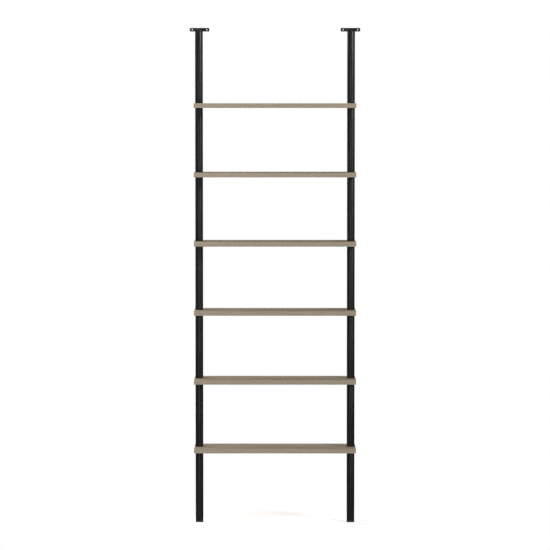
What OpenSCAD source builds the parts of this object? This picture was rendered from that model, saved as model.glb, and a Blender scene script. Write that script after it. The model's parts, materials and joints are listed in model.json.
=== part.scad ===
// Ladder shelf that stands on the floor and is screwed to the wall at the top.
// Two round steel posts carry the boards. Each post is a stack of tube sections, and every
// board is clamped between two sections by a stud that passes through it.
// The origin is on the floor, midway between the posts and midway through the depth.
// +X points right, +Y towards the wall and +Z up. All sizes are in millimetres.

/* [Shelves] */
// Number of shelves
shelf_count = 6; // [2:1:6]
// Width of a shelf, from end to end
shelf_w = 622; // [560:1:900]
// Depth of a shelf, from its front edge to the wall
shelf_d = 184; // [150:1:300]
// Thickness of a shelf
shelf_t = 18; // [15:0.5:25]
// Height from one shelf to the next
shelf_pitch = 265; // [200:5:350]
// Height of the lowest shelf's underside
first_shelf_z = 275; // [120:5:400]
// Chamfer along the long edges of a shelf
shelf_arris = 0.6; // [0.2:0.1:1.5]

/* [Posts] */
// Outer diameter of the tube
post_d = 30; // [25:1:40]
// Wall thickness of the tube
tube_wall = 1.5; // [1:0.1:2.5]
// Distance between the centres of the posts
post_spacing = 584; // [400:1:800]
// Distance from the wall to the centre of a post
post_to_wall = 104; // [60:1:130]
// Height of the post above the top shelf, up to the wall bracket
top_section = 277; // [100:1:350]

/* [Joints in the posts] */
// Diameter of the studs and bolts, M8
thread_d = 8; // [8, 10]
// Clearance hole for a stud or bolt
clearance_d = 9; // [9:0.5:12]
// Length of a threaded insert in the end of a tube
insert_l = 20; // [16:1:30]
// Length of the stud that joins two tubes through a shelf
stud_l = 50; // [40:1:60]
// Chamfer on the ends of studs, bolts and threaded holes
thread_chamfer = 0.8; // [0.5:0.1:1]
// Thickness of the rim of the plug at the top of a post
plug_rim_t = 3; // [2:0.5:5]

/* [Wall brackets] */
// Width of the wall plate
plate_w = 76; // [70:1:100]
// Height of the wall plate
plate_h = 14; // [14:1:30]
// Thickness of the wall plate
plate_t = 4; // [3:0.5:6]
// Radius of the wall plate's corners
plate_corner_r = 3; // [1:0.5:5]
// Distance between the two screw holes
screw_spacing = 56; // [50:1:80]
// Diameter of the screw holes
screw_hole_d = 4.5; // [4:0.5:5.5]
// Thickness of the arm between the post and the wall plate
arm_t = 6; // [5:1:8]
// Leg length of the weld beads between the arm and the wall plate
weld_leg = 2.5; // [2:0.5:4]
// Length of the bracket bolt under its head
bolt_l = 20; // [16:1:25]
// Diameter of the bracket bolt's button head
bolt_head_d = 14; // [13:0.5:16]
// Height of the bracket bolt's button head
bolt_head_h = 4.4; // [4:0.1:5]
// Width across the flats of the bolt's hexagon socket
socket_af = 5; // [4:1:6]
// Depth of the bolt's hexagon socket
socket_depth = 2.6; // [2:0.1:3]

/* [Levelling feet] */
// Height of the foot pad
pad_h = 8; // [6:0.5:12]
// Gap between the foot pad and the tube when the foot is screwed right in
pad_gap = 0.5; // [0.4:0.1:2]
// Radius of the foot pad's lower edge
pad_edge_r = 1.5; // [1:0.5:3]
// Depth of the foot stud's socket in the pad
pad_socket = 5; // [4:0.5:5]
// Length of the foot stud above the pad's top face
foot_stud_l = 26; // [24:1:35]
// Running clearance around the foot stud, on the radius
foot_clearance = 0.05; // [0.02:0.01:0.1]

/* [Hidden] */
$fn = 64;

SIDES = [-1, 1];
SHELVES = [1 : shelf_count];
SECTIONS = [1 : shelf_count + 1];

BLACK_STEEL = [0.17, 0.17, 0.18];
ZINC_STEEL = [0.72, 0.73, 0.75];
BLACK_NYLON = [0.10, 0.10, 0.10];
GREY_OAK = [0.62, 0.57, 0.50];

wall_y = shelf_d / 2;
post_y = wall_y - post_to_wall;
post_r = post_d / 2;
bore_r = post_r - tube_wall;
thread_r = thread_d / 2;
foot_stud_r = thread_r - foot_clearance;
tube_bottom_z = pad_h + pad_gap;
top_shelf_z = first_shelf_z + (shelf_count - 1) * shelf_pitch + shelf_t;
arm_z = top_shelf_z + top_section;
arm_w = post_d;
arm_top_z = arm_z + arm_t;
// The bolt's domed head has an upright rim, a fifth of the head's height
dome_rise = bolt_head_h * 0.8;
dome_r = (pow(bolt_head_d / 2, 2) + pow(dome_rise, 2)) / (2 * dome_rise);
tiny = 0.01;

function side_name(side) = side < 0 ? "left" : "right";
function named(side, what) = str(side_name(side), "_", what);
function numbered(side, what, k) = str(side_name(side), "_", what, "_", k);

// Underside of shelf k, counted from the floor
function shelf_z(k) = first_shelf_z + (k - 1) * shelf_pitch;
// Ends of tube section k, counted from the floor
function section_low(k) = k == 1 ? tube_bottom_z : shelf_z(k - 1) + shelf_t;
function section_high(k) = k <= shelf_count ? shelf_z(k) : arm_z - plug_rim_t;

// Everything on a post is drawn about the post's own axis
module on_post(side) {
    translate([side * post_spacing / 2, post_y, 0]) children();
}

// Rectangle centred on the origin with round corners
module rounded_rectangle(width, height, radius) {
    square([width, height - 2 * radius], center = true);
    square([width - 2 * radius, height], center = true);
    for (x = [-1, 1], y = [-1, 1])
        translate([x * (width / 2 - radius), y * (height / 2 - radius)]) circle(r = radius);
}

// Rod with chamfered ends, standing on the XY plane
module chamfered_rod(radius, length, chamfer) {
    rotate_extrude() polygon([
        [0, 0],
        [radius - chamfer, 0],
        [radius, chamfer],
        [radius, length - chamfer],
        [radius - chamfer, length],
        [0, length]
    ]);
}

// Threaded hole along Z with a chamfered mouth at each end, to be cut from a block of that length
module threaded_bore(radius, length) {
    translate([0, 0, -1]) cylinder(r = radius, h = length + 2);
    for (end = [0, 1])
        translate([0, 0, end * length]) mirror([0, 0, end])
            translate([0, 0, -tiny])
                cylinder(r1 = radius + thread_chamfer, r2 = radius, h = thread_chamfer);
}

// Board with a clearance hole for the stud of each post
module shelf(k) {
    half_d = shelf_d / 2;
    color(GREY_OAK) translate([0, 0, shelf_z(k)]) difference() {
        translate([-shelf_w / 2, 0, 0]) rotate([90, 0, 90]) linear_extrude(shelf_w) polygon([
            [-half_d + shelf_arris, 0],
            [half_d - shelf_arris, 0],
            [half_d, shelf_arris],
            [half_d, shelf_t - shelf_arris],
            [half_d - shelf_arris, shelf_t],
            [-half_d + shelf_arris, shelf_t],
            [-half_d, shelf_t - shelf_arris],
            [-half_d, shelf_arris]
        ]);
        for (side = SIDES) on_post(side)
            translate([0, 0, -1]) cylinder(d = clearance_d, h = shelf_t + 2);
    }
}

// One length of steel tube
module tube(side, k) {
    length = section_high(k) - section_low(k);
    color(BLACK_STEEL) on_post(side) translate([0, 0, section_low(k)]) difference() {
        cylinder(r = post_r, h = length);
        translate([0, 0, -1]) cylinder(r = bore_r, h = length + 2);
    }
}

// Threaded insert that fills the end of a tube
module insert() {
    difference() {
        cylinder(r = bore_r, h = insert_l);
        threaded_bore(thread_r, insert_l);
    }
}

// The inserts of one tube: one at each end, except that the top end of a post has a plug
module inserts(side, k) {
    color(ZINC_STEEL) on_post(side) {
        translate([0, 0, section_low(k)]) insert();
        if (k <= shelf_count) translate([0, 0, section_high(k) - insert_l]) insert();
    }
}

// Stud that passes through shelf k and reaches equally far into the tubes above and below
module stud(side, k) {
    color(ZINC_STEEL) on_post(side)
        translate([0, 0, shelf_z(k) + (shelf_t - stud_l) / 2])
            chamfered_rod(thread_r, stud_l, thread_chamfer);
}

// Threaded plug with a rim that closes the top of a post
module top_plug(side) {
    color(BLACK_STEEL) on_post(side) translate([0, 0, arm_z - plug_rim_t - insert_l]) difference() {
        union() {
            cylinder(r = bore_r, h = insert_l);
            translate([0, 0, insert_l]) cylinder(r = post_r, h = plug_rim_t);
        }
        threaded_bore(thread_r, insert_l + plug_rim_t);
    }
}

// Bead of weld along X with a triangular section, its square corner on the X axis
module weld_bead(length) {
    translate([-length / 2, 0, 0]) rotate([90, 0, 90]) linear_extrude(length)
        polygon([[tiny, -tiny], [-weld_leg, -tiny], [-weld_leg, 0], [0, weld_leg], [tiny, weld_leg]]);
}

// Welded bracket: a flat arm from the top of the post to a screw plate on the wall
module wall_bracket(side) {
    plate_front = post_to_wall - plate_t;
    color(BLACK_STEEL) on_post(side) translate([0, 0, arm_z]) difference() {
        union() {
            translate([0, (plate_front + tiny - post_r) / 2, 0]) linear_extrude(arm_t)
                square([arm_w, plate_front + tiny + post_r], center = true);
            translate([0, post_to_wall, plate_h / 2]) rotate([90, 0, 0]) linear_extrude(plate_t)
                rounded_rectangle(plate_w, plate_h, plate_corner_r);
            translate([0, plate_front, arm_t]) weld_bead(arm_w);
        }
        translate([0, 0, -1]) cylinder(d = clearance_d, h = arm_t + 2);
        for (x = [-1, 1]) translate([x * screw_spacing / 2, post_to_wall + 1, plate_h / 2])
            rotate([90, 0, 0]) cylinder(d = screw_hole_d, h = plate_t + 2);
    }
}

// Button-head bolt that holds the bracket to the plug in the post
module bracket_bolt(side) {
    color(BLACK_STEEL) on_post(side) translate([0, 0, arm_top_z]) difference() {
        union() {
            translate([0, 0, -bolt_l]) chamfered_rod(thread_r, bolt_l + thread_chamfer, thread_chamfer);
            rotate_extrude() intersection() {
                translate([0, bolt_head_h - dome_r]) circle(r = dome_r);
                square([bolt_head_d / 2, bolt_head_h]);
            }
        }
        translate([0, 0, bolt_head_h - socket_depth])
            cylinder(d = socket_af / cos(30), h = socket_depth + 1, $fn = 6);
    }
}

// Nylon pad of a levelling foot, with the socket that its stud is moulded into
module foot_pad(side) {
    color(BLACK_NYLON) on_post(side) difference() {
        rotate_extrude() union() {
            square([post_r - pad_edge_r, pad_h]);
            translate([0, pad_edge_r]) square([post_r, pad_h - pad_edge_r]);
            translate([post_r - pad_edge_r, pad_edge_r]) circle(r = pad_edge_r);
        }
        translate([0, 0, pad_h - pad_socket]) cylinder(r = foot_stud_r, h = pad_socket + 1);
    }
}

// Stud of a levelling foot, screwed into the lowest insert of the post
module foot_stud(side) {
    color(ZINC_STEEL) on_post(side) translate([0, 0, pad_h - pad_socket])
        chamfered_rod(foot_stud_r, pad_socket + foot_stud_l, thread_chamfer);
}

for (k = SHELVES)
    shelf(k);

for (side = SIDES, k = SECTIONS) {
    tube(side, k);
    inserts(side, k);
}

for (side = SIDES, k = SHELVES)
    stud(side, k);

for (side = SIDES) {
    top_plug(side);
    wall_bracket(side);
    bracket_bolt(side);
    foot_pad(side);
    foot_stud(side);
}
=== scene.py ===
"""Looks for the ladder shelf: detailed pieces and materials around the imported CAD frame.

Lengths are in metres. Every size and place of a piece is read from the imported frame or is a
named detail size below, such as the radius of an eased edge.
"""

import json
import math

import bmesh
import bpy
from mathutils import Matrix, Vector


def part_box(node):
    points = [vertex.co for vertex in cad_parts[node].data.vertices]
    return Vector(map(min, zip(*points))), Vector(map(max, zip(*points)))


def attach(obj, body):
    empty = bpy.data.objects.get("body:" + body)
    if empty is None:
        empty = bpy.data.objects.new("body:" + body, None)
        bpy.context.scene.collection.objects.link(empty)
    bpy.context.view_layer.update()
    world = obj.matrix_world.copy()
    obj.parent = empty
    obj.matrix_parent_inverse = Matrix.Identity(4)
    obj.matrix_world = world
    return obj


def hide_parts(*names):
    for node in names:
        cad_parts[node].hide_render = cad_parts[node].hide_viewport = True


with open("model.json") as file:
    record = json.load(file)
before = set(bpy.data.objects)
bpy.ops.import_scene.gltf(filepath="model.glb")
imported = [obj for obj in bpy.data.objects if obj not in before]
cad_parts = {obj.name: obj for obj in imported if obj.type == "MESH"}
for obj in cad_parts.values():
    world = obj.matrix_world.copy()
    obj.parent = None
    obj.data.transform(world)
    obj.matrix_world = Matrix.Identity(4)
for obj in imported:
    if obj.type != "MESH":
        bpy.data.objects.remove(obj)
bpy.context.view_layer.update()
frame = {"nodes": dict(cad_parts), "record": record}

MM = 0.001
SIDES = ("left", "right")
NODES = frame["nodes"]
SHELF_COUNT = sum(1 for name in NODES if name.startswith("shelf_"))
FRAME_BODY = "frame"

# ---------------------------------------------------------------- detail sizes

TINY = 1e-6
ROUND_STEPS = 4           # segments in each eased edge
CORNER_STEPS = 8          # segments in each corner of a plate or board, seen from above
POST_SEGMENTS = 96
SMALL_SEGMENTS = 48
STUD_SEGMENTS = 24
SHELF_EDGE = 1.0 * MM
SHELF_CORNER = 2.0 * MM
TUBE_LIP = 0.4 * MM
TUBE_WALL = 1.5 * MM
RIM_EDGE = 0.8 * MM
PLATE_EDGE = 0.6 * MM
PLATE_CORNER = 3.0 * MM
PLATE_THICKNESS = 4.0 * MM
ARM_THICKNESS = 6.0 * MM
ARM_CORNER = 1.0 * MM
CLEARANCE_R = 4.5 * MM
THREAD_R = 4.0 * MM
THREAD_PITCH = 1.25 * MM
THREAD_DEPTH = 0.68 * MM
THREAD_ROOT = 0.06        # share of the pitch that is flat at the root
THREAD_FLANKS = 0.82      # and the share that the two flanks take
ROD_CHAMFER = 1.1 * THREAD_DEPTH
INSERT_LENGTH = 20.0 * MM
INSERT_EDGE = 0.6 * MM

BEAD_R = 2.2 * MM
BEAD_PITCH = 2.0 * MM
BEAD_RIPPLE = 0.12        # depth of the ripples, as a share of the radius
BEAD_SIDES = 12
BEAD_RINGS = 6            # rings of the mesh in each ripple
BEAD_TAPER = 4            # rings that it takes to reach the full radius
BEAD_SUNK = 0.25 * BEAD_R
SIDE_BEAD_R = 0.8 * BEAD_R

BOLT_CHAMFER = 0.8 * MM
BOLT_HEAD_EDGE = 0.3 * MM
BOLT_CROWN_R = 3.2 * MM   # where the dome ends and the socket's chamfer starts
DOME_SHARE = 0.8          # share of the head's height that the dome takes
SOCKET_R = 2.5 * MM       # from the bolt's axis to a flat of the hexagon
SOCKET_DEPTH = 2.6 * MM
SOCKET_TIP = 0.8 * MM     # depth of the drill's cone below the hexagon
SOCKET_EDGE = 0.25 * MM
DOME_STEPS = 10

PAD_EDGE = 1.5 * MM
PAD_TOP_EDGE = 0.5 * MM
PAD_RECESS = 0.5 * MM
PAD_RECESS_SHARE = 0.62   # share of the pad's radius
PAD_SOCKET_GAP = 0.05 * MM
GROOVE_DEPTH = 0.35 * MM
GROOVE_EDGE = 0.15 * MM
GROOVE_LEVELS = (0.62, 0.66, 0.72, 0.76)   # shares of the pad's height
SMALL_EDGE = 0.2 * MM

RING_WIDTH = 6.2 * MM
PITH_WANDER = 22.0 * MM
RING_WAVE = 2.2 * MM
PITH_SIDEWAYS = (12 * MM, -20 * MM, 30 * MM, -6 * MM, 22 * MM, -34 * MM)   # one for each board
PITH_BELOW = (50 * MM, 64 * MM, 46 * MM, 70 * MM, 56 * MM, 60 * MM)

# Floor, surroundings and camera. The levels are brightness, and white is 1.
FLOOR_R = 0.6
FLOOR_PLAIN_R = 0.38
FLOOR_THICKNESS = 2.0 * MM
FLOOR_GLOW = 0.25
ABOVE_LEVEL = 0.016
BELOW_LEVEL = 0.29
ABOVE_FROM = -0.28        # sine of the elevation from which the surroundings are dim, upwards
BELOW_FROM = -0.40        # and of the one from which they are pale, downwards
LIGHT_AIM = 1.0           # height that the lights point at
LENS_MM = 200
SENSOR_MM = 36
CAMERA_REACH = 200        # farthest distance that the camera sees
CAMERA_DISTANCE = 11.758
CAMERA_HEIGHT = 1.619
CAMERA_TILT = 3.222       # degrees downwards


# ---------------------------------------------------------------- mesh helpers

def centre_of(node):
    """Middle of a CAD node's box."""
    low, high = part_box(node)
    return (low + high) / 2


def arc(centre, radius, start, end, steps):
    """Points on an arc, both ends included; angles in degrees."""
    points = []
    for i in range(steps + 1):
        angle = math.radians(start + (end - start) * i / steps)
        points.append((centre[0] + radius * math.cos(angle), centre[1] + radius * math.sin(angle)))
    return points


def rounded_outline(width, height, radius):
    """Anticlockwise outline of a rectangle with round corners, centred on the origin."""
    x, y = width / 2 - radius, height / 2 - radius
    points = []
    for quarter, centre in enumerate(((x, -y), (x, y), (-x, y), (-x, -y))):
        start = 90 * quarter - 90
        points += arc(centre, radius, start, start + 90, CORNER_STEPS)
    return points


def circle_outline(centre, radius):
    """Anticlockwise circle with no repeated point."""
    return arc(centre, radius, 0, 360, SMALL_SEGMENTS)[:-1]


def filleted(corners):
    """Replaces each corner (a, b, radius) of a closed outline by a fillet of that radius."""
    points = []
    count = len(corners)
    for i, (a, b, radius) in enumerate(corners):
        here = Vector((a, b))
        if radius == 0:
            points.append((a, b))
            continue
        before = Vector(corners[i - 1][:2]) - here
        after = Vector(corners[(i + 1) % count][:2]) - here
        before.normalize()
        after.normalize()
        half = before.angle(after) / 2
        reach = radius / math.tan(half)
        middle = here + (before + after).normalized() * (radius / math.sin(half))
        first = here + before * reach - middle
        last = here + after * reach - middle
        turn = first.angle(last)
        for k in range(ROUND_STEPS + 1):
            share = k / ROUND_STEPS
            mix = first * math.sin((1 - share) * turn) + last * math.sin(share * turn)
            point = middle + mix / math.sin(turn)
            points.append((point.x, point.y))
    return points


def add_ring(bm, points):
    """Adds a vertex at each point."""
    return [bm.verts.new(point) for point in points]


def bridge(bm, lower, upper):
    """Quads between two closed rings with the same number of points."""
    count = len(lower)
    for i in range(count):
        j = (i + 1) % count
        bm.faces.new((lower[i], lower[j], upper[j], upper[i]))


def mark_sharp(bm, ring):
    """Marks a ring of edges as sharp, so that the faces on its two sides are shaded apart."""
    for i, vert in enumerate(ring):
        edge = bm.edges.get((vert, ring[(i + 1) % len(ring)]))
        if edge:
            edge.smooth = False


def slab(outer, holes, thickness, edge):
    """Plate on the XY plane from z = 0 up, with eased edges.

    outer and each hole are functions that give their outline for an inset into the material.
    """
    levels = [(edge - out, z) for out, z in arc((0, edge), edge, -90, 0, ROUND_STEPS)]
    levels += [(inset, thickness - z) for inset, z in reversed(levels)]
    bm = bmesh.new()
    bottom_rings, top_rings = [], []
    for number, outline in enumerate([outer, *holes]):
        rings = []
        for inset, z in levels:
            rings.append(add_ring(bm, [(x, y, z) for x, y in outline(inset)]))
        for lower, upper in zip(rings, rings[1:]):
            if number == 0:
                bridge(bm, lower, upper)
            else:
                bridge(bm, upper, lower)
        for ring in (rings[0], rings[ROUND_STEPS], rings[ROUND_STEPS + 1], rings[-1]):
            mark_sharp(bm, ring)
        bottom_rings.append(rings[0])
        top_rings.append(rings[-1])
    for rings in (bottom_rings, top_rings):
        edges = []
        for ring in rings:
            edges += [bm.edges.get((v, ring[(i + 1) % len(ring)])) for i, v in enumerate(ring)]
        bmesh.ops.triangle_fill(bm, use_beauty=True, use_dissolve=False, edges=edges)
    return bm


def standing(middle, low):
    """Moves a piece made on the origin to the bottom centre of a CAD node's box."""
    return Matrix.Translation((middle.x, middle.y, low.z))


def lathe(profile, segments, closed=True):
    """Turns a profile of (radius, z) about Z. A radius may be a function of the angle.

    An open profile starts and ends on the axis, and its ends close to a point.
    """
    bm = bmesh.new()
    rings = []
    for radius, z in profile:
        if radius == 0:
            rings.append([bm.verts.new((0, 0, z))])
            continue
        ring = []
        for i in range(segments):
            angle = 2 * math.pi * i / segments
            r = radius(angle) if callable(radius) else radius
            ring.append(bm.verts.new((r * math.cos(angle), r * math.sin(angle), z)))
        rings.append(ring)
    pairs = list(zip(rings, rings[1:]))
    if closed:
        pairs.append((rings[-1], rings[0]))
    for lower, upper in pairs:
        if len(lower) == 1 and len(upper) == 1:
            continue
        if len(lower) == 1 or len(upper) == 1:
            pole, ring = (lower[0], upper) if len(lower) == 1 else (upper[0], lower)
            for i in range(segments):
                bm.faces.new((pole, ring[i], ring[(i + 1) % segments]))
        else:
            bridge(bm, lower, upper)
    return bm


def finish_mesh(bm, sharp_angle):
    """Makes the normals point outwards, and sharpens edges over an angle in degrees."""
    bmesh.ops.recalc_face_normals(bm, faces=bm.faces)
    for face in bm.faces:
        face.smooth = True
    for edge in bm.edges:
        if len(edge.link_faces) == 2 and edge.calc_face_angle(0) > math.radians(sharp_angle):
            edge.smooth = False


def piece(name, bm, material, body, replaced, place=None, sharp_angle=40):
    """Turns a bmesh into an object that rides on a CAD body and stands for CAD nodes."""
    if place is not None:
        bmesh.ops.transform(bm, matrix=place, verts=bm.verts)
    finish_mesh(bm, sharp_angle)
    mesh = bpy.data.meshes.new(name)
    bm.to_mesh(mesh)
    bm.free()
    mesh.materials.append(material)
    obj = bpy.data.objects.new(name, mesh)
    bpy.context.scene.collection.objects.link(obj)
    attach(obj, body)
    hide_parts(*replaced)


# ---------------------------------------------------------------- material helpers

def feed(tree, socket, value):
    """Links an input to another node's output, or sets its value."""
    if isinstance(value, bpy.types.NodeSocket):
        tree.links.new(value, socket)
    else:
        socket.default_value = value


class Shader:
    """A material's node tree, with short calls to add and join nodes."""

    def __init__(self, name):
        self.material = bpy.data.materials.new(name)
        self.material.use_nodes = True
        self.tree = self.material.node_tree
        self.surface = self.tree.nodes["Principled BSDF"]
        self.column = 0

    def add(self, kind, inputs=None, **settings):
        node = self.tree.nodes.new(kind)
        self.column += 1
        node.location = (-220 * self.column, 200 * (self.column % 3))
        for key, value in settings.items():
            setattr(node, key, value)
        for key, value in (inputs or {}).items():
            feed(self.tree, node.inputs[key], value)
        return node

    def math(self, operation, a, b=0.0):
        return self.add("ShaderNodeMath", {0: a, 1: b}, operation=operation).outputs[0]

    def remap(self, value, low, high, to_low, to_high):
        inputs = {
            "Value": value,
            "From Min": low,
            "From Max": high,
            "To Min": to_low,
            "To Max": to_high,
        }
        return self.add("ShaderNodeMapRange", inputs).outputs["Result"]

    def mix(self, factor, a, b):
        """Blend of two colours; inputs 6 and 7 are the ones that take a colour."""
        node = self.add("ShaderNodeMix", {0: factor, 6: a, 7: b}, data_type="RGBA")
        return node.outputs[2]

    def noise(self, vector, scale, detail=2.0, roughness=0.5):
        inputs = {"Vector": vector, "Scale": scale, "Detail": detail, "Roughness": roughness}
        return self.add("ShaderNodeTexNoise", inputs).outputs["Fac"]

    def stretched_noise(self, vector, scale, detail, roughness):
        """Noise with a scale of its own along each axis."""
        return self.noise(self.scaled(vector, scale), 1.0, detail, roughness)

    def scaled(self, vector, scale, offset=(0, 0, 0)):
        inputs = {"Vector": vector, "Scale": scale, "Location": offset}
        return self.add("ShaderNodeMapping", inputs).outputs["Vector"]

    def position(self):
        return self.add("ShaderNodeTexCoord").outputs["Object"]

    def bump(self, height, distance, strength):
        inputs = {"Height": height, "Distance": distance, "Strength": strength}
        return self.add("ShaderNodeBump", inputs).outputs["Normal"]

    def set(self, **values):
        """Sets inputs of the surface, with _ for each space in an input's name."""
        for key, value in values.items():
            feed(self.tree, self.surface.inputs[key.replace("_", " ")], value)


def grey_oak(name, number):
    """Flat-sawn greige oak: growth rings about a pith line along X, fibres and open pores."""
    s = Shader(name)
    shift = (1.37 * number, 0.61 * number, 0.29 * number)
    point = s.position()
    board = s.scaled(point, (1, 1, 1), shift)

    # Growth rings: distance from a wandering pith line, in rings
    low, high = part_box(f"shelf_{number}")
    pith_y = PITH_SIDEWAYS[(number - 1) % len(PITH_SIDEWAYS)]
    pith_z = (low.z + high.z) / 2 - PITH_BELOW[(number - 1) % len(PITH_BELOW)]
    wander = s.stretched_noise(board, (1.6, 5.0, 5.0), 2.0, 0.45)
    wave = s.stretched_noise(board, (5.0, 26.0, 26.0), 2.0, 0.5)
    split = s.add("ShaderNodeSeparateXYZ", {0: point})
    y = s.math("SUBTRACT", split.outputs[1], pith_y)
    z = s.math("SUBTRACT", split.outputs[2], pith_z)
    radius = s.math("SQRT", s.math("ADD", s.math("MULTIPLY", y, y), s.math("MULTIPLY", z, z)))
    radius = s.math("ADD", radius, s.remap(wander, 0.0, 1.0, -PITH_WANDER, PITH_WANDER))
    radius = s.math("ADD", radius, s.remap(wave, 0.0, 1.0, -RING_WAVE, RING_WAVE))
    ring = s.math("FRACT", s.math("MULTIPLY", radius, 1 / RING_WIDTH))
    late = s.add("ShaderNodeValToRGB", {0: ring})
    late.color_ramp.elements[0].position = 0.0
    late.color_ramp.elements[0].color = (0.0, 0.0, 0.0, 1)
    late.color_ramp.elements[1].position = 0.97
    late.color_ramp.elements[1].color = (0.15, 0.15, 0.15, 1)
    peak = late.color_ramp.elements.new(0.80)
    peak.color = (1, 1, 1, 1)
    late = late.outputs["Color"]

    # Fibres about 1 mm wide, and pores as short dark dashes
    fibre = s.stretched_noise(board, (14.0, 700.0, 700.0), 3.0, 0.6)
    streak = s.stretched_noise(board, (3.0, 90.0, 90.0), 2.0, 0.55)
    pore = s.stretched_noise(board, (95.0, 2100.0, 2100.0), 1.0, 0.5)
    pore = s.remap(pore, 0.60, 0.72, 0.0, 1.0)
    early = s.remap(ring, 0.0, 0.55, 1.0, 0.25)
    pore = s.math("MULTIPLY", pore, early)
    cloud = s.stretched_noise(board, (1.2, 7.0, 7.0), 1.0, 0.5)
    honey = s.stretched_noise(board, (0.8, 45.0, 45.0), 1.0, 0.5)

    pale = (0.372, 0.313, 0.239, 1)
    darker = (0.311, 0.264, 0.201, 1)
    greyer = (0.300, 0.259, 0.206, 1)
    golden = (0.350, 0.277, 0.188, 1)
    late_wood = (0.247, 0.199, 0.143, 1)
    fibre_brown = (0.270, 0.225, 0.169, 1)
    pore_brown = (0.112, 0.086, 0.060, 1)
    base = s.mix(s.remap(streak, 0.30, 0.70, 0.0, 1.0), pale, darker)
    base = s.mix(s.remap(cloud, 0.30, 0.70, 0.0, 0.55), base, greyer)
    base = s.mix(s.remap(honey, 0.42, 0.72, 0.0, 0.6), base, golden)
    base = s.mix(s.math("MULTIPLY", late, 0.68), base, late_wood)
    base = s.mix(s.remap(fibre, 0.35, 0.65, 0.0, 0.50), base, fibre_brown)
    base = s.mix(s.math("MULTIPLY", pore, 0.74), base, pore_brown)

    relief = s.math("SUBTRACT", s.math("MULTIPLY", fibre, 0.5), pore)
    rough = s.remap(s.math("ADD", fibre, pore), 0.2, 1.6, 0.50, 0.72)
    s.set(Base_Color=base, Roughness=rough, Normal=s.bump(relief, 0.00012, 0.6))
    s.set(Specular_IOR_Level=0.35)
    return s.material


def powder_coat():
    """Satin black powder coat: fine orange peel and a slightly uneven sheen."""
    s = Shader("satin_black_powder_coat")
    point = s.position()
    peel = s.noise(point, 900.0, 2.0, 0.5)
    grit = s.noise(point, 3200.0, 1.0, 0.5)
    patch = s.noise(point, 18.0, 3.0, 0.55)
    black = (0.0065, 0.0065, 0.0068, 1)
    worn = (0.0085, 0.0085, 0.0088, 1)
    speck = (0.013, 0.013, 0.0135, 1)
    base = s.mix(s.remap(patch, 0.3, 0.7, 0.0, 1.0), black, worn)
    base = s.mix(s.remap(grit, 0.60, 0.75, 0.0, 0.4), base, speck)
    rough = s.math("ADD", s.remap(patch, 0.3, 0.7, 0.33, 0.39), s.remap(grit, 0.3, 0.7, -0.02, 0.02))
    height = s.math("ADD", s.math("MULTIPLY", peel, 0.8), s.math("MULTIPLY", grit, 0.2))
    s.set(Base_Color=base, Roughness=rough, Normal=s.bump(height, 0.00006, 0.3))
    s.set(Specular_IOR_Level=0.5)
    return s.material


def zinc_plate():
    """Bright zinc on turned steel: fine marks round the axis and a faint cloudiness."""
    s = Shader("bright_zinc_plate")
    point = s.position()
    marks = s.stretched_noise(point, (60.0, 60.0, 5200.0), 2.0, 0.5)
    cloud = s.noise(point, 140.0, 3.0, 0.6)
    bright = (0.62, 0.64, 0.66, 1)
    dull = (0.50, 0.51, 0.52, 1)
    base = s.mix(s.remap(cloud, 0.3, 0.7, 0.0, 1.0), bright, dull)
    rough = s.remap(s.math("ADD", marks, cloud), 0.6, 1.4, 0.22, 0.42)
    s.set(Base_Color=base, Roughness=rough, Normal=s.bump(marks, 0.00003, 0.4), Metallic=1.0)
    return s.material


def black_oxide():
    """Oiled black oxide on a steel bolt."""
    s = Shader("black_oxide_steel")
    point = s.position()
    cloud = s.noise(point, 260.0, 3.0, 0.6)
    grain = s.noise(point, 2600.0, 1.0, 0.5)
    oiled = (0.030, 0.030, 0.032, 1)
    dry = (0.055, 0.054, 0.054, 1)
    base = s.mix(s.remap(cloud, 0.3, 0.7, 0.0, 1.0), oiled, dry)
    rough = s.remap(s.math("ADD", cloud, grain), 0.6, 1.4, 0.28, 0.46)
    s.set(Base_Color=base, Roughness=rough, Normal=s.bump(grain, 0.00003, 0.4), Metallic=0.85)
    return s.material


def black_nylon():
    """Moulded black nylon with a fine eroded texture."""
    s = Shader("moulded_black_nylon")
    point = s.position()
    texture = s.noise(point, 1500.0, 3.0, 0.6)
    scuff = s.stretched_noise(point, (90.0, 90.0, 500.0), 2.0, 0.5)
    black = (0.016, 0.016, 0.016, 1)
    scuffed = (0.034, 0.033, 0.032, 1)
    base = s.mix(s.remap(scuff, 0.55, 0.75, 0.0, 0.6), black, scuffed)
    rough = s.remap(texture, 0.3, 0.7, 0.48, 0.66)
    s.set(Base_Color=base, Roughness=rough, Normal=s.bump(texture, 0.00005, 0.5))
    return s.material


def light_table():
    """Pale floor lit from below, which fades into plain white towards its rim."""
    s = Shader("pale_floor")
    point = s.position()
    distance = s.add("ShaderNodeVectorMath", {0: point}, operation="LENGTH").outputs["Value"]
    limits = {"Value": distance, "From Min": FLOOR_PLAIN_R, "From Max": FLOOR_R}
    rim = s.add("ShaderNodeMapRange", limits, interpolation_type="SMOOTHSTEP").outputs["Result"]
    cloud = s.noise(point, 2.0)
    pale = (0.91, 0.91, 0.905, 1)
    paler = (0.93, 0.93, 0.925, 1)
    base = s.mix(cloud, pale, paler)
    s.set(Base_Color=s.mix(rim, base, (0, 0, 0, 1)), Roughness=1.0, Specular_IOR_Level=0.0)
    s.set(Emission_Color=(1, 1, 1, 1), Emission_Strength=s.remap(rim, 0.0, 1.0, FLOOR_GLOW, 1.0))
    return s.material


def glowing_panel():
    """Plain white underside of the floor."""
    s = Shader("floor_underside")
    s.set(Base_Color=(0, 0, 0, 1), Roughness=1.0, Specular_IOR_Level=0.0)
    s.set(Emission_Color=(1, 1, 1, 1), Emission_Strength=1.0)
    return s.material


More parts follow.
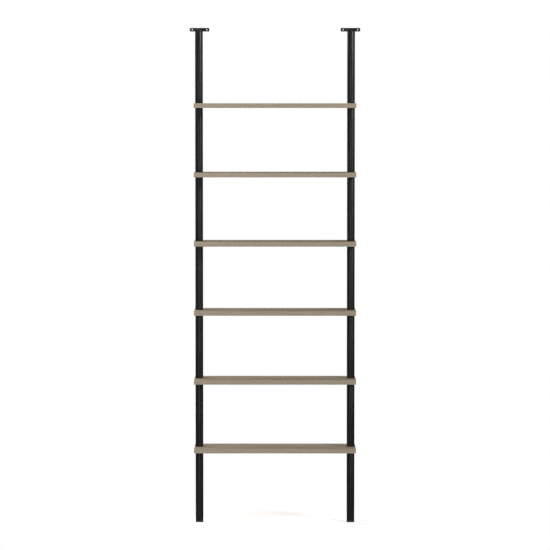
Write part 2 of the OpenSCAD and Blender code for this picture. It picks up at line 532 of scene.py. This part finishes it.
COAT = powder_coat()
ZINC = zinc_plate()
OXIDE = black_oxide()
NYLON = black_nylon()


# ---------------------------------------------------------------- pieces

def make_shelf(number):
    """Board with eased edges and a clearance hole for the stud of each post."""
    node = f"shelf_{number}"
    low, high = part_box(node)
    size = high - low
    middle = centre_of(node)
    posts = [centre_of(f"{side}_tube_{number}") - middle for side in SIDES]

    def outer(inset):
        return rounded_outline(size.x - 2 * inset, size.y - 2 * inset, SHELF_CORNER - inset)

    def hole_at(post):
        return lambda inset: circle_outline((post.x, post.y), CLEARANCE_R + inset)

    bm = slab(outer, [hole_at(post) for post in posts], size.z, SHELF_EDGE)
    piece(f"{node}_board", bm, grey_oak(f"grey_oak_{number}", number), FRAME_BODY,
          [node], standing(middle, low))


def make_tube(side, number):
    """Length of tube, open at both ends, with a softened lip."""
    node = f"{side}_tube_{number}"
    low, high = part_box(node)
    middle = centre_of(node)
    outside = (high.x - low.x) / 2
    inside = outside - TUBE_WALL
    length = high.z - low.z
    profile = filleted([
        (inside, 0, TUBE_LIP),
        (outside, 0, TUBE_LIP),
        (outside, length, TUBE_LIP),
        (inside, length, TUBE_LIP),
    ])
    piece(f"{node}_coated", lathe(profile, POST_SEGMENTS), COAT, FRAME_BODY,
          [node], standing(middle, low), sharp_angle=60)


def make_top_plug(side):
    """Plug: a collar inside the tube, a rim that shows under the bracket, and a plain bore."""
    node = f"{side}_top_plug"
    low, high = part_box(node)
    middle = centre_of(node)
    rim = (high.x - low.x) / 2
    collar = rim - TUBE_WALL
    length = high.z - low.z
    profile = filleted([
        (THREAD_R, 0, TUBE_LIP),
        (collar, 0, TUBE_LIP),
        (collar, INSERT_LENGTH, 0),
        (rim, INSERT_LENGTH, RIM_EDGE / 2),
        (rim, length, RIM_EDGE),
        (THREAD_R, length, TUBE_LIP),
    ])
    piece(f"{side}_post_cap", lathe(profile, POST_SEGMENTS), COAT, FRAME_BODY,
          [node], standing(middle, low))


def bead(start, end, radius):
    """Rippled weld bead between two points, round in section and tapered at the ends."""
    along = end - start
    length = along.length
    steps = int(length / BEAD_PITCH * BEAD_RINGS)
    turn = along.to_track_quat("Z", "Y").to_matrix().to_4x4()
    profile = [(0, 0)]
    for i in range(1, steps):
        z = length * i / steps
        taper = min(1.0, math.sqrt(min(i, steps - i) / BEAD_TAPER))
        ripple = 1 - BEAD_RIPPLE * abs(math.cos(math.pi * z / BEAD_PITCH))
        profile.append((radius * ripple * taper, z))
    profile.append((0, length))
    bm = lathe(profile, BEAD_SIDES, closed=False)
    bmesh.ops.transform(bm, matrix=Matrix.Translation(start) @ turn, verts=bm.verts)
    return bm


def joined(*parts):
    """One bmesh that holds several."""
    whole = bmesh.new()
    for part in parts:
        mesh = bpy.data.meshes.new("part")
        part.to_mesh(mesh)
        part.free()
        whole.from_mesh(mesh)
        bpy.data.meshes.remove(mesh)
    return whole


def make_bracket(side):
    """Arm, wall plate and weld beads of a wall bracket."""
    node = f"{side}_wall_bracket"
    low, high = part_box(node)
    middle_x = centre_of(node).x
    post_y = centre_of(f"{side}_tube_1").y
    arm_w = 2 * (post_y - low.y)
    plate_front = high.y - PLATE_THICKNESS
    arm_l = plate_front - low.y
    arm_middle = low.y + arm_l / 2

    def arm_outline(inset):
        return rounded_outline(arm_w - 2 * inset, arm_l - 2 * inset, ARM_CORNER - inset)

    def bolt_hole(inset):
        return circle_outline((0, post_y - arm_middle), CLEARANCE_R + inset)

    arm = slab(arm_outline, [bolt_hole], ARM_THICKNESS, PLATE_EDGE)
    piece(f"{side}_bracket_arm", arm, COAT, FRAME_BODY, [node],
          Matrix.Translation((middle_x, arm_middle, low.z)))

    width, height = high.x - low.x, high.z - low.z
    screws = screw_pattern(side)
    reach = screws["spacing_x_mm"] * MM / 2
    screw_r = screws["hole_r_mm"] * MM

    def plate_outline(inset):
        return rounded_outline(width - 2 * inset, height - 2 * inset, PLATE_CORNER - inset)

    def screw_hole(x):
        return lambda inset: circle_outline((x, 0), screw_r + inset)

    plate = slab(plate_outline, [screw_hole(-reach), screw_hole(reach)], PLATE_THICKNESS, PLATE_EDGE)
    upright = Matrix.Rotation(math.pi / 2, 4, "X")
    on_wall = Matrix.Translation((middle_x, high.y, low.z + height / 2)) @ upright
    piece(f"{side}_bracket_plate", plate, COAT, FRAME_BODY, [node], on_wall)

    half = arm_w / 2
    arm_top = low.z + ARM_THICKNESS
    y = plate_front - BEAD_SUNK
    z = arm_top + BEAD_SUNK
    left, right = middle_x - half, middle_x + half
    top_bead = bead(Vector((left, y, z)), Vector((right, y, z)), BEAD_R)
    side_beads = [
        bead(Vector((x, y, low.z + BEAD_R / 2)), Vector((x, y, arm_top)), SIDE_BEAD_R)
        for x in (left, right)
    ]
    piece(f"{side}_bracket_weld", joined(top_bead, *side_beads), COAT, FRAME_BODY,
          [node], sharp_angle=80)


def screw_pattern(side):
    """Sizes of the bracket's screw holes, as the record's mount states them."""
    for mount in frame["record"]["mounts"]:
        if mount["name"] == f"{side}_wall_screws":
            return mount["dims"]
    raise ValueError(f"the record has no mount for the {side} wall screws")


def thread_radius(major, z, angle):
    """Radius of a right-hand thread at a height and angle."""
    phase = (z / THREAD_PITCH - angle / (2 * math.pi)) % 1.0
    flank = (abs(phase - 0.5) * 2 - THREAD_ROOT) / THREAD_FLANKS
    rise = min(1.0, max(0.0, flank))
    return major - THREAD_DEPTH * (1 - rise)


def threaded_rod(major, length, segments, rings_per_turn):
    """Rod with a helical thread and chamfered ends, standing on the XY plane."""
    count = int(round(length / THREAD_PITCH * rings_per_turn))
    profile = [(0, 0)]
    for i in range(count + 1):
        z = length * i / count
        ease = major - ROD_CHAMFER + min(z, length - z)

        def radius(angle, z=z, ease=ease):
            return min(thread_radius(major, z, angle), ease)

        profile.append((radius, z))
    profile.append((0, length))
    return lathe(profile, segments, closed=False)


def make_stud(side, number):
    """Threaded stud that joins two tubes through a shelf."""
    node = f"{side}_stud_{number}"
    low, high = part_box(node)
    middle = centre_of(node)
    bm = threaded_rod((high.x - low.x) / 2, high.z - low.z, STUD_SEGMENTS, 6)
    piece(f"{node}_threaded", bm, ZINC, FRAME_BODY, [node],
          standing(middle, low), sharp_angle=75)


def make_inserts(side, number):
    """Inserts of one tube, each pressed into an end, with plain bores."""
    node = f"{side}_inserts_{number}"
    low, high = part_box(node)
    middle = centre_of(node)
    outside = (high.x - low.x) / 2
    starts = [low.z]
    if high.z - low.z > 1.5 * INSERT_LENGTH:
        starts.append(high.z - INSERT_LENGTH)
    parts = []
    for start in starts:
        profile = filleted([
            (THREAD_R, 0, INSERT_EDGE),
            (outside, 0, INSERT_EDGE),
            (outside, INSERT_LENGTH, INSERT_EDGE),
            (THREAD_R, INSERT_LENGTH, INSERT_EDGE),
        ])
        bm = lathe(profile, SMALL_SEGMENTS)
        bmesh.ops.translate(bm, vec=(middle.x, middle.y, start), verts=bm.verts)
        parts.append(bm)
    piece(f"{node}_turned", joined(*parts), ZINC, FRAME_BODY, [node], sharp_angle=60)


def make_bolt(side):
    """Button-head bolt with a plain shank and a hexagon socket, over the bracket's arm."""
    node = f"{side}_bracket_bolt"
    low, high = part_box(node)
    middle = centre_of(node)
    bracket_low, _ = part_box(f"{side}_wall_bracket")
    seat = bracket_low.z + ARM_THICKNESS - low.z
    total = high.z - low.z
    head = (high.x - low.x) / 2
    rise = (total - seat) * DOME_SHARE
    dome = (head * head + rise * rise) / (2 * rise)
    socket_floor = total - SOCKET_DEPTH

    def hexagon(angle):
        offset = angle % (math.pi / 3) - math.pi / 6
        return SOCKET_R / math.cos(offset)

    profile = [
        (0, 0),
        (THREAD_R - BOLT_CHAMFER, 0),
        (THREAD_R, BOLT_CHAMFER),
        (THREAD_R, seat),
        (head - BOLT_HEAD_EDGE, seat),
        (head, seat + BOLT_HEAD_EDGE),
    ]
    rim = total - rise
    for i in range(DOME_STEPS + 1):
        r = head + (BOLT_CROWN_R - head) * i / DOME_STEPS
        z = total - dome + math.sqrt(dome * dome - r * r)
        if z > rim - TINY:
            profile.append((r, z))
    top = profile[-1][1]
    profile.append((hexagon, top - SOCKET_EDGE))
    profile.append((hexagon, socket_floor))
    profile.append((0, socket_floor - SOCKET_TIP))
    bm = lathe(profile, SMALL_SEGMENTS, closed=False)
    piece(f"{side}_button_head_bolt", bm, OXIDE, FRAME_BODY, [node],
          standing(middle, low), sharp_angle=25)


def make_foot(side):
    """Nylon pad with a hollow underside and a groove round it, and its threaded stud."""
    body = f"{side}_foot"
    node = f"{side}_foot_pad"
    low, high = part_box(node)
    middle = centre_of(node)
    stud_low, stud_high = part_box(f"{side}_foot_stud")
    outside = (high.x - low.x) / 2
    height = high.z - low.z
    socket_floor = stud_low.z - low.z
    stud_r = (stud_high.x - stud_low.x) / 2
    socket_r = stud_r + PAD_SOCKET_GAP
    recess_r = outside * PAD_RECESS_SHARE
    groove_r = outside - GROOVE_DEPTH
    groove = [height * share for share in GROOVE_LEVELS]
    corners = [
        (recess_r, PAD_RECESS, 0),
        (recess_r + PAD_RECESS, 0, SMALL_EDGE),
        (outside, 0, PAD_EDGE),
        (outside, groove[0], GROOVE_EDGE),
        (groove_r, groove[1], 0),
        (groove_r, groove[2], 0),
        (outside, groove[3], GROOVE_EDGE),
        (outside, height, PAD_TOP_EDGE),
        (socket_r, height, SMALL_EDGE),
        (socket_r, socket_floor, 0),
    ]
    profile = [(0, PAD_RECESS)] + filleted(corners) + [(0, socket_floor)]
    piece(f"{side}_glide", lathe(profile, POST_SEGMENTS, closed=False), NYLON, body,
          [node], standing(middle, low), sharp_angle=50)

    bm = threaded_rod(stud_r, stud_high.z - stud_low.z, SMALL_SEGMENTS, 10)
    piece(f"{side}_glide_stud", bm, ZINC, body, [f"{side}_foot_stud"],
          standing(middle, stud_low), sharp_angle=75)


for shelf_number in range(1, SHELF_COUNT + 1):
    make_shelf(shelf_number)
for post_side in SIDES:
    for tube_number in range(1, SHELF_COUNT + 2):
        make_tube(post_side, tube_number)
        make_inserts(post_side, tube_number)
    for stud_number in range(1, SHELF_COUNT + 1):
        make_stud(post_side, stud_number)
    make_top_plug(post_side)
    make_bracket(post_side)
    make_bolt(post_side)
    make_foot(post_side)


# ---------------------------------------------------------------- floor, light and camera

def make_floor():
    """Round pale floor in two halves, each of which rides on its side's foot.

    So a foot always stands on its half. The floor lights the posts and isn't mirrored in them.
    """
    materials = (light_table(), glowing_panel())
    for side, start in (("right", -90), ("left", 90)):
        bm = bmesh.new()
        outline = arc((0, 0), FLOOR_R, start, start + 180, POST_SEGMENTS)
        for slot_number, height in enumerate((0, -FLOOR_THICKNESS)):
            middle = bm.verts.new((0, 0, height))
            rim = add_ring(bm, [(x, y, height) for x, y in outline])
            for first, second in zip(rim, rim[1:]):
                bm.faces.new((middle, first, second)).material_index = slot_number
        mesh = bpy.data.meshes.new(f"{side}_floor")
        bm.to_mesh(mesh)
        bm.free()
        for material in materials:
            mesh.materials.append(material)
        floor = bpy.data.objects.new(f"{side}_floor", mesh)
        bpy.context.scene.collection.objects.link(floor)
        floor.visible_glossy = False
        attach(floor, f"{side}_foot")


def make_world():
    """Surroundings: pale far below the horizon, dim above that, and plain white to the camera."""
    world = bpy.data.worlds.new("studio")
    bpy.context.scene.world = world
    world.use_nodes = True
    tree = world.node_tree
    tree.nodes.clear()

    def add(kind, inputs, **settings):
        node = tree.nodes.new(kind)
        for key, value in settings.items():
            setattr(node, key, value)
        for key, value in inputs.items():
            feed(tree, node.inputs[key], value)
        return node.outputs[0]

    direction = tree.nodes.new("ShaderNodeTexCoord").outputs["Generated"]
    height = tree.nodes.new("ShaderNodeSeparateXYZ")
    tree.links.new(direction, height.inputs[0])
    seen = tree.nodes.new("ShaderNodeLightPath").outputs["Is Camera Ray"]
    level = add("ShaderNodeMapRange", {
        "Value": height.outputs["Z"],
        "From Min": BELOW_FROM,
        "From Max": ABOVE_FROM,
        "To Min": BELOW_LEVEL,
        "To Max": ABOVE_LEVEL,
    })
    around = add("ShaderNodeBackground", {"Color": (1, 1, 1, 1), "Strength": level})
    white = add("ShaderNodeBackground", {"Color": (1, 1, 1, 1), "Strength": 1.0})
    surface = add("ShaderNodeMixShader", {0: seen, 1: around, 2: white})
    output = tree.nodes.new("ShaderNodeOutputWorld")
    tree.links.new(surface, output.inputs["Surface"])


def make_softbox(name, azimuth, elevation, distance, size, power, reflected=True, colour=(1, 1, 1)):
    """Rectangular light aimed at the middle of the object; azimuth 0 is the front, + the right.

    Angles are in degrees, and power is in watts. A light that isn't reflected lightens the
    surfaces without a mirror image of itself.
    """
    turn, rise = math.radians(azimuth), math.radians(elevation)
    aim = Vector((0, 0, LIGHT_AIM))
    level = math.cos(rise)
    away = Vector((level * math.sin(turn), -level * math.cos(turn), math.sin(rise)))
    light = bpy.data.lights.new(name, "AREA")
    light.shape = "RECTANGLE"
    light.size, light.size_y = size
    light.energy = power
    light.color = colour
    obj = bpy.data.objects.new(name, light)
    obj.location = aim + away * distance
    obj.rotation_euler = (-away).to_track_quat("-Z", "Y").to_euler()
    obj.visible_camera = False
    obj.visible_glossy = reflected
    bpy.context.scene.collection.objects.link(obj)


def make_camera():
    """Long lens far in front of the posts, at the height of the top shelf, tilted slightly down."""
    data = bpy.data.cameras.new("camera")
    data.lens = LENS_MM
    data.sensor_width = SENSOR_MM
    data.clip_end = CAMERA_REACH
    camera = bpy.data.objects.new("camera", data)
    posts = centre_of("left_tube_1")
    camera.location = (0, posts.y - CAMERA_DISTANCE, CAMERA_HEIGHT)
    camera.rotation_euler = (math.radians(90 - CAMERA_TILT), 0, 0)
    bpy.context.scene.collection.objects.link(camera)
    bpy.context.scene.camera = camera


make_floor()
make_world()
# Name, azimuth, elevation, distance, width and height, power
make_softbox("key", 47, 34, 4.0, (0.5, 1.1), 82)
make_softbox("tall_strip", 48, 10, 3.6, (0.3, 2.6), 19)
make_softbox("low_front", -8, 0, 4.0, (0.8, 2.0), 18)
make_softbox("high_back_left", -112, 41, 4.0, (2.0, 2.0), 102, colour=(1.0, 0.92, 0.88))
make_softbox("back_right", 95, 18, 4.0, (1.0, 2.2), 7)
make_softbox("back_strip", -150, 14, 3.6, (0.3, 2.4), 10)
make_softbox("fill_left", -60, 12, 3.0, (1.5, 1.5), 69, reflected=False)
make_softbox("fill_front", -30, 12, 3.0, (1.5, 1.5), 14, reflected=False)
make_softbox("fill_back", 165, 4, 3.0, (1.5, 1.5), 14, reflected=False)
make_softbox("fill_right", 80, 4, 3.0, (1.2, 1.5), 9, reflected=False)
make_camera()
bpy.context.scene.view_settings.view_transform = "Standard"
